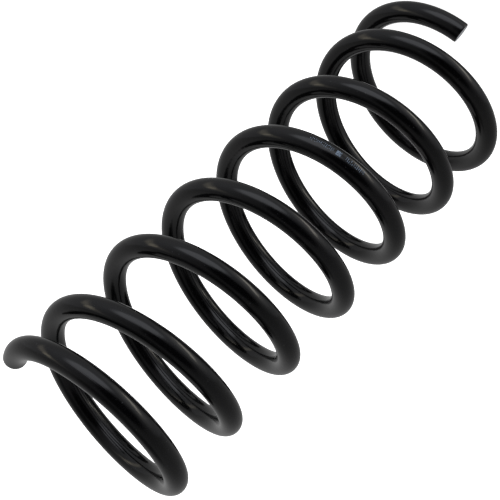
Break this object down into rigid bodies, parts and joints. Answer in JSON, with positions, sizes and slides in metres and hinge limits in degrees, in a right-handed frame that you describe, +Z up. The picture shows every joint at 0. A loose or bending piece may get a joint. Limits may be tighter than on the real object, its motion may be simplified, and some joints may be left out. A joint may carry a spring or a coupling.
{
  "type": "coil spring",
  "caption": "Automotive suspension coil spring: a round steel bar wound right-handed in an even cylindrical coil with closed, unground ends, that shortens under load.",
  "frame": {"origin": "on the coil axis, level with the underside of the lower cut end, where the spring stands on its lower seat", "axes": "+Z up the coil axis from the lower seat to the upper seat; +X from the axis through the lower cut end"},
  "size_m": [0.118, 0.118, 0.3256],
  "materials": {
    "black_coated_steel": "semi-gloss black powder coat over shot-peened spring steel"
  },
  "bodies": {
    "lower_end_coil": {"lower_end_coil": "black_coated_steel"},
    "turn_1_quarter_4": {"turn_1_quarter_4": "black_coated_steel"},
    "turn_2_quarter_1": {"turn_2_quarter_1": "black_coated_steel"},
    "turn_2_quarter_2": {"turn_2_quarter_2": "black_coated_steel"},
    "turn_2_quarter_3": {"turn_2_quarter_3": "black_coated_steel"},
    "turn_2_quarter_4": {"turn_2_quarter_4": "black_coated_steel"},
    "turn_3_quarter_1": {"turn_3_quarter_1": "black_coated_steel"},
    "turn_3_quarter_2": {"turn_3_quarter_2": "black_coated_steel"},
    "turn_3_quarter_3": {"turn_3_quarter_3": "black_coated_steel"},
    "turn_3_quarter_4": {"turn_3_quarter_4": "black_coated_steel"},
    "turn_4_quarter_1": {"turn_4_quarter_1": "black_coated_steel"},
    "turn_4_quarter_2": {"turn_4_quarter_2": "black_coated_steel"},
    "turn_4_quarter_3": {"turn_4_quarter_3": "black_coated_steel"},
    "turn_4_quarter_4": {"turn_4_quarter_4": "black_coated_steel"},
    "turn_5_quarter_1": {"turn_5_quarter_1": "black_coated_steel"},
    "turn_5_quarter_2": {"turn_5_quarter_2": "black_coated_steel"},
    "turn_5_quarter_3": {"turn_5_quarter_3": "black_coated_steel"},
    "turn_5_quarter_4": {"turn_5_quarter_4": "black_coated_steel"},
    "turn_6_quarter_1": {"turn_6_quarter_1": "black_coated_steel"},
    "turn_6_quarter_2": {"turn_6_quarter_2": "black_coated_steel"},
    "turn_6_quarter_3": {"turn_6_quarter_3": "black_coated_steel"},
    "turn_6_quarter_4": {"turn_6_quarter_4": "black_coated_steel"},
    "turn_7_quarter_1": {"turn_7_quarter_1": "black_coated_steel"},
    "turn_7_quarter_2": {"turn_7_quarter_2": "black_coated_steel"},
    "upper_end_coil": {"upper_end_coil": "black_coated_steel"}
  },
  "joints": [
    {"name": "compression", "type": "slide", "parent": "lower_end_coil", "child": "upper_end_coil", "axis": [0, 0, -1], "range_m": [0, 0.179], "stiffness_N_per_m": 42100, "springref_m": -0.0003},
    {"name": "turn_1_quarter_4_sink", "type": "slide", "parent": "lower_end_coil", "child": "turn_1_quarter_4", "axis": [0, 0, -1], "range_m": [0, 0.004]},
    {"name": "turn_2_quarter_1_sink", "type": "slide", "parent": "lower_end_coil", "child": "turn_2_quarter_1", "axis": [0, 0, -1], "range_m": [0, 0.01]},
    {"name": "turn_2_quarter_2_sink", "type": "slide", "parent": "lower_end_coil", "child": "turn_2_quarter_2", "axis": [0, 0, -1], "range_m": [0, 0.018]},
    {"name": "turn_2_quarter_3_sink", "type": "slide", "parent": "lower_end_coil", "child": "turn_2_quarter_3", "axis": [0, 0, -1], "range_m": [0, 0.026]},
    {"name": "turn_2_quarter_4_sink", "type": "slide", "parent": "lower_end_coil", "child": "turn_2_quarter_4", "axis": [0, 0, -1], "range_m": [0, 0.034]},
    {"name": "turn_3_quarter_1_sink", "type": "slide", "parent": "lower_end_coil", "child": "turn_3_quarter_1", "axis": [0, 0, -1], "range_m": [0, 0.042]},
    {"name": "turn_3_quarter_2_sink", "type": "slide", "parent": "lower_end_coil", "child": "turn_3_quarter_2", "axis": [0, 0, -1], "range_m": [0, 0.05]},
    {"name": "turn_3_quarter_3_sink", "type": "slide", "parent": "lower_end_coil", "child": "turn_3_quarter_3", "axis": [0, 0, -1], "range_m": [0, 0.058]},
    {"name": "turn_3_quarter_4_sink", "type": "slide", "parent": "lower_end_coil", "child": "turn_3_quarter_4", "axis": [0, 0, -1], "range_m": [0, 0.066]},
    {"name": "turn_4_quarter_1_sink", "type": "slide", "parent": "lower_end_coil", "child": "turn_4_quarter_1", "axis": [0, 0, -1], "range_m": [0, 0.074]},
    {"name": "turn_4_quarter_2_sink", "type": "slide", "parent": "lower_end_coil", "child": "turn_4_quarter_2", "axis": [0, 0, -1], "range_m": [0, 0.082]},
    {"name": "turn_4_quarter_3_sink", "type": "slide", "parent": "lower_end_coil", "child": "turn_4_quarter_3", "axis": [0, 0, -1], "range_m": [0, 0.09]},
    {"name": "turn_4_quarter_4_sink", "type": "slide", "parent": "lower_end_coil", "child": "turn_4_quarter_4", "axis": [0, 0, -1], "range_m": [0, 0.098]},
    {"name": "turn_5_quarter_1_sink", "type": "slide", "parent": "lower_end_coil", "child": "turn_5_quarter_1", "axis": [0, 0, -1], "range_m": [0, 0.106]},
    {"name": "turn_5_quarter_2_sink", "type": "slide", "parent": "lower_end_coil", "child": "turn_5_quarter_2", "axis": [0, 0, -1], "range_m": [0, 0.114]},
    {"name": "turn_5_quarter_3_sink", "type": "slide", "parent": "lower_end_coil", "child": "turn_5_quarter_3", "axis": [0, 0, -1], "range_m": [0, 0.122]},
    {"name": "turn_5_quarter_4_sink", "type": "slide", "parent": "lower_end_coil", "child": "turn_5_quarter_4", "axis": [0, 0, -1], "range_m": [0, 0.13]},
    {"name": "turn_6_quarter_1_sink", "type": "slide", "parent": "lower_end_coil", "child": "turn_6_quarter_1", "axis": [0, 0, -1], "range_m": [0, 0.138]},
    {"name": "turn_6_quarter_2_sink", "type": "slide", "parent": "lower_end_coil", "child": "turn_6_quarter_2", "axis": [0, 0, -1], "range_m": [0, 0.146]},
    {"name": "turn_6_quarter_3_sink", "type": "slide", "parent": "lower_end_coil", "child": "turn_6_quarter_3", "axis": [0, 0, -1], "range_m": [0, 0.154]},
    {"name": "turn_6_quarter_4_sink", "type": "slide", "parent": "lower_end_coil", "child": "turn_6_quarter_4", "axis": [0, 0, -1], "range_m": [0, 0.161]},
    {"name": "turn_7_quarter_1_sink", "type": "slide", "parent": "lower_end_coil", "child": "turn_7_quarter_1", "axis": [0, 0, -1], "range_m": [0, 0.169]},
    {"name": "turn_7_quarter_2_sink", "type": "slide", "parent": "lower_end_coil", "child": "turn_7_quarter_2", "axis": [0, 0, -1], "range_m": [0, 0.177]}
  ],
  "couplings": [
    {"joint": "turn_1_quarter_4_sink", "follows": "compression", "ratio": 0.0146},
    {"joint": "turn_2_quarter_1_sink", "follows": "compression", "ratio": 0.0524},
    {"joint": "turn_2_quarter_2_sink", "follows": "compression", "ratio": 0.0963},
    {"joint": "turn_2_quarter_3_sink", "follows": "compression", "ratio": 0.1407},
    {"joint": "turn_2_quarter_4_sink", "follows": "compression", "ratio": 0.1852},
    {"joint": "turn_3_quarter_1_sink", "follows": "compression", "ratio": 0.2297},
    {"joint": "turn_3_quarter_2_sink", "follows": "compression", "ratio": 0.2741},
    {"joint": "turn_3_quarter_3_sink", "follows": "compression", "ratio": 0.3186},
    {"joint": "turn_3_quarter_4_sink", "follows": "compression", "ratio": 0.3631},
    {"joint": "turn_4_quarter_1_sink", "follows": "compression", "ratio": 0.4075},
    {"joint": "turn_4_quarter_2_sink", "follows": "compression", "ratio": 0.452},
    {"joint": "turn_4_quarter_3_sink", "follows": "compression", "ratio": 0.4964},
    {"joint": "turn_4_quarter_4_sink", "follows": "compression", "ratio": 0.5409},
    {"joint": "turn_5_quarter_1_sink", "follows": "compression", "ratio": 0.5854},
    {"joint": "turn_5_quarter_2_sink", "follows": "compression", "ratio": 0.6298},
    {"joint": "turn_5_quarter_3_sink", "follows": "compression", "ratio": 0.6743},
    {"joint": "turn_5_quarter_4_sink", "follows": "compression", "ratio": 0.7188},
    {"joint": "turn_6_quarter_1_sink", "follows": "compression", "ratio": 0.7632},
    {"joint": "turn_6_quarter_2_sink", "follows": "compression", "ratio": 0.8077},
    {"joint": "turn_6_quarter_3_sink", "follows": "compression", "ratio": 0.8522},
    {"joint": "turn_6_quarter_4_sink", "follows": "compression", "ratio": 0.8966},
    {"joint": "turn_7_quarter_1_sink", "follows": "compression", "ratio": 0.9411},
    {"joint": "turn_7_quarter_2_sink", "follows": "compression", "ratio": 0.9829}
  ]
}
